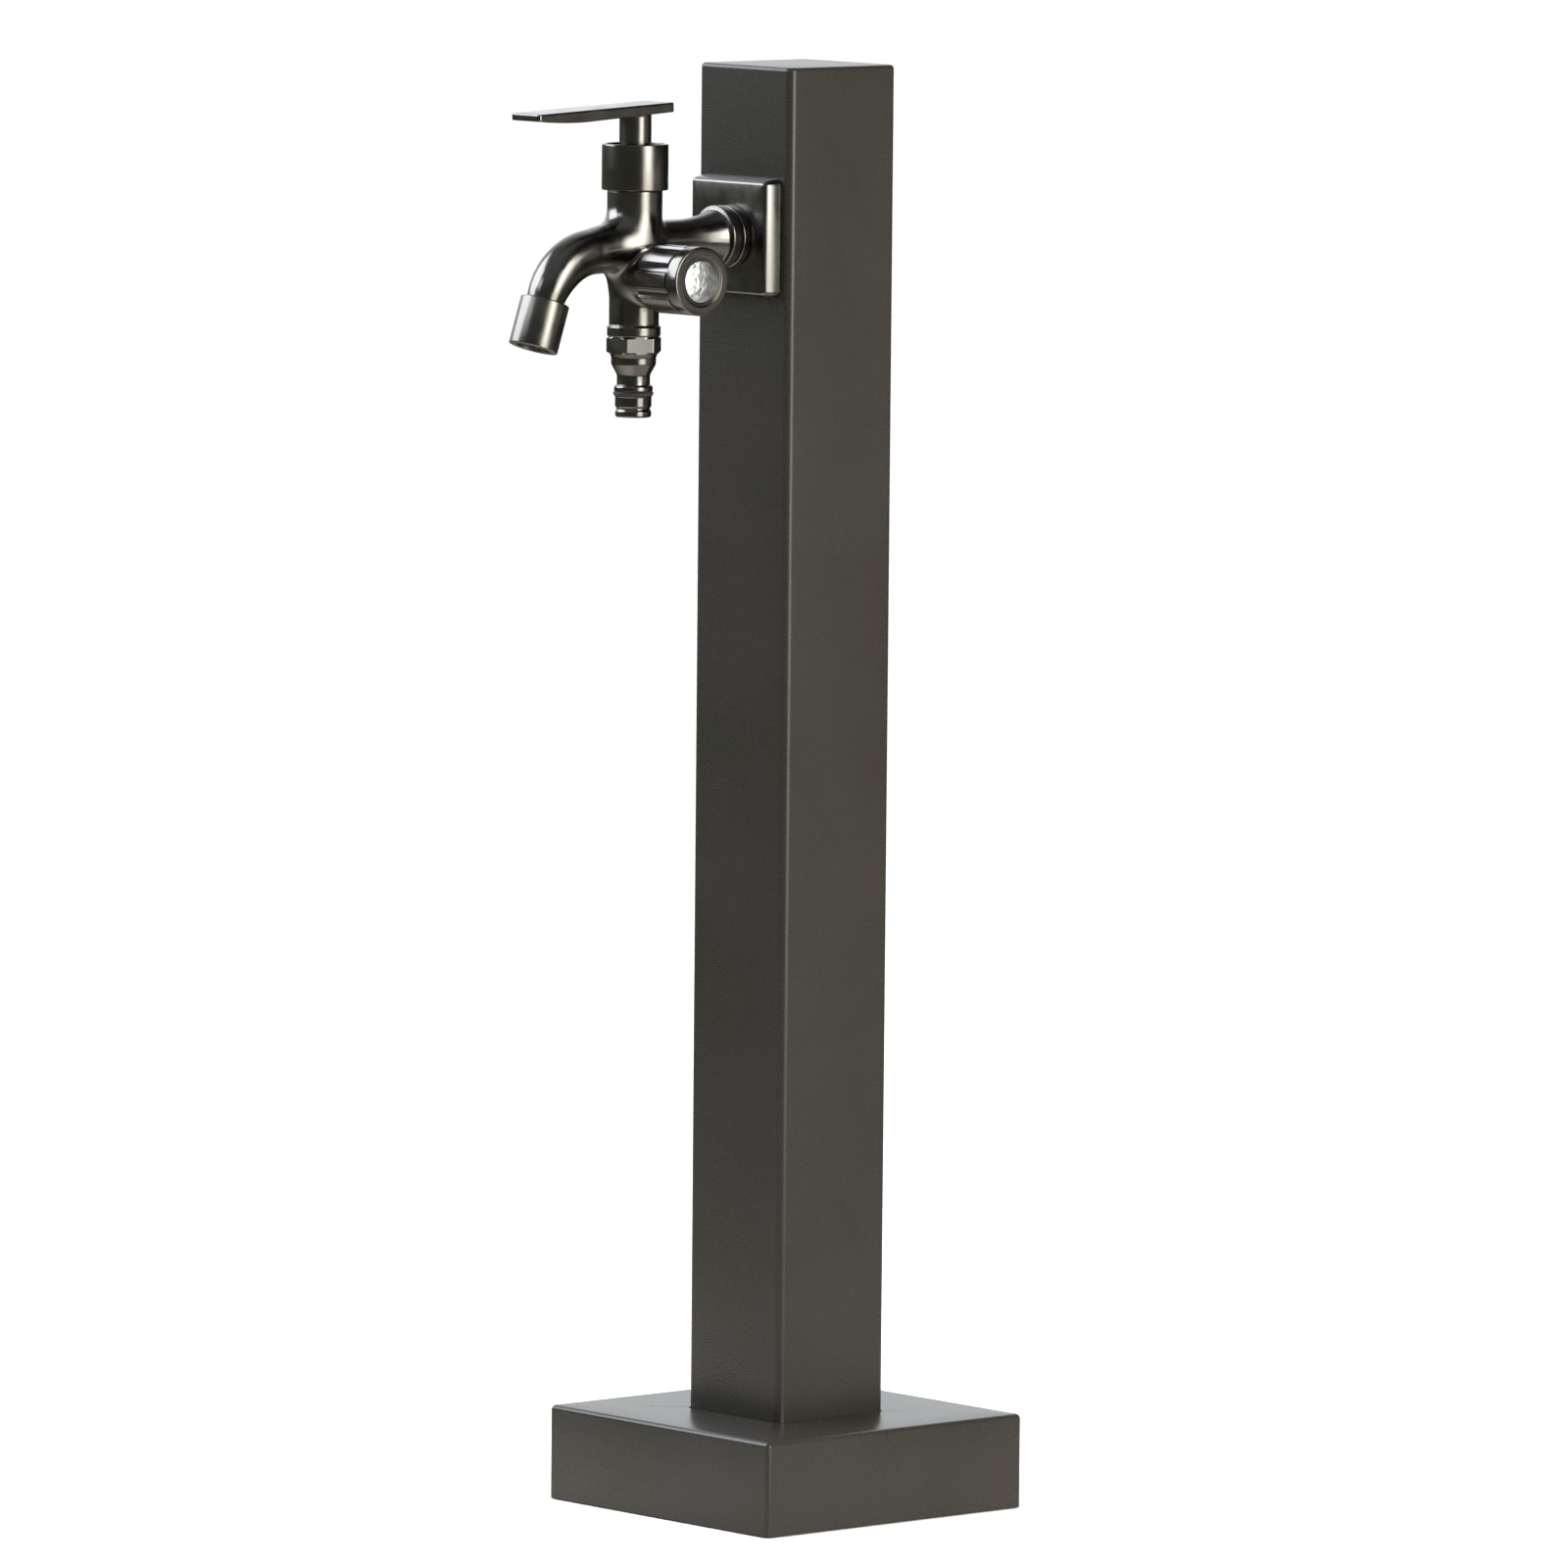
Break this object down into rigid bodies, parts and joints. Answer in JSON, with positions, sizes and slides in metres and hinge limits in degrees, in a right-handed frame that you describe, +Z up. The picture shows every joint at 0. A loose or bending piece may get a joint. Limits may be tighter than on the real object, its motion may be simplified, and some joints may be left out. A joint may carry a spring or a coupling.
{
  "type": "garden standpipe",
  "caption": "Square steel post on a covered ground plate, with a wall plate and a two-way tap: a lever-worked spout and a knob-worked hose outlet.",
  "frame": {"origin": "on the ground under the middle of the post, at the centre of the four bolt holes", "axes": "+Z up along the post; the tap stands out towards -Y; the side valve points to +X"},
  "size_m": [0.168, 0.2651, 0.721],
  "materials": {
    "coated_steel": "satin dark grey-bronze powder coat",
    "gunmetal": "dark gunmetal coating on brass, satin",
    "raw_brass": "plain machined brass",
    "steel": "stainless steel",
    "rubber": "black rubber",
    "ceramic": "white sintered ceramic",
    "grey_plastic": "grey moulded plastic",
    "chrome": "satin chrome"
  },
  "bodies": {
    "standpipe": {"base_plate": "coated_steel", "column_tube": "coated_steel", "column_cap": "coated_steel", "wall_plate": "gunmetal", "inlet_tail": "gunmetal", "tap_body": "gunmetal", "bonnet": "gunmetal", "spout_nozzle": "gunmetal", "hose_nipple": "gunmetal", "supply_socket": "raw_brass", "outlet_elbow": "raw_brass", "upper_cartridge": "raw_brass", "side_cartridge": "raw_brass", "riser_pipe": "steel", "elbow_seal": "rubber", "inlet_seal": "rubber", "upper_seal": "rubber", "side_seal": "rubber", "nozzle_washer": "rubber", "outlet_washer": "rubber", "nipple_ring": "rubber", "upper_fixed_disc": "ceramic", "side_fixed_disc": "ceramic", "pipe_clips": "grey_plastic", "aerator_insert": "grey_plastic"},
    "lever": {"lever_handle": "gunmetal", "lever_screw": "steel", "upper_spindle": "raw_brass", "upper_turning_disc": "ceramic", "upper_clip": "steel"},
    "knob": {"side_knob": "gunmetal", "knob_screw": "steel", "knob_insert": "chrome", "side_spindle": "raw_brass", "side_turning_disc": "ceramic", "side_clip": "steel"},
    "cover": {"base_cover": "coated_steel"}
  },
  "joints": [
    {"name": "lever_turn", "type": "hinge", "parent": "standpipe", "child": "lever", "pos_m": [0, -0.1052, 0.69], "axis": [0, 0, 1], "range_deg": [0, 90]},
    {"name": "knob_turn", "type": "hinge", "parent": "standpipe", "child": "knob", "pos_m": [0.03, -0.1052, 0.619], "axis": [1, 0, 0], "range_deg": [0, 90]},
    {"name": "cover_lift", "type": "slide", "parent": "standpipe", "child": "cover", "axis": [0, 0, 1], "range_m": [0, 0.555]}
  ]
}
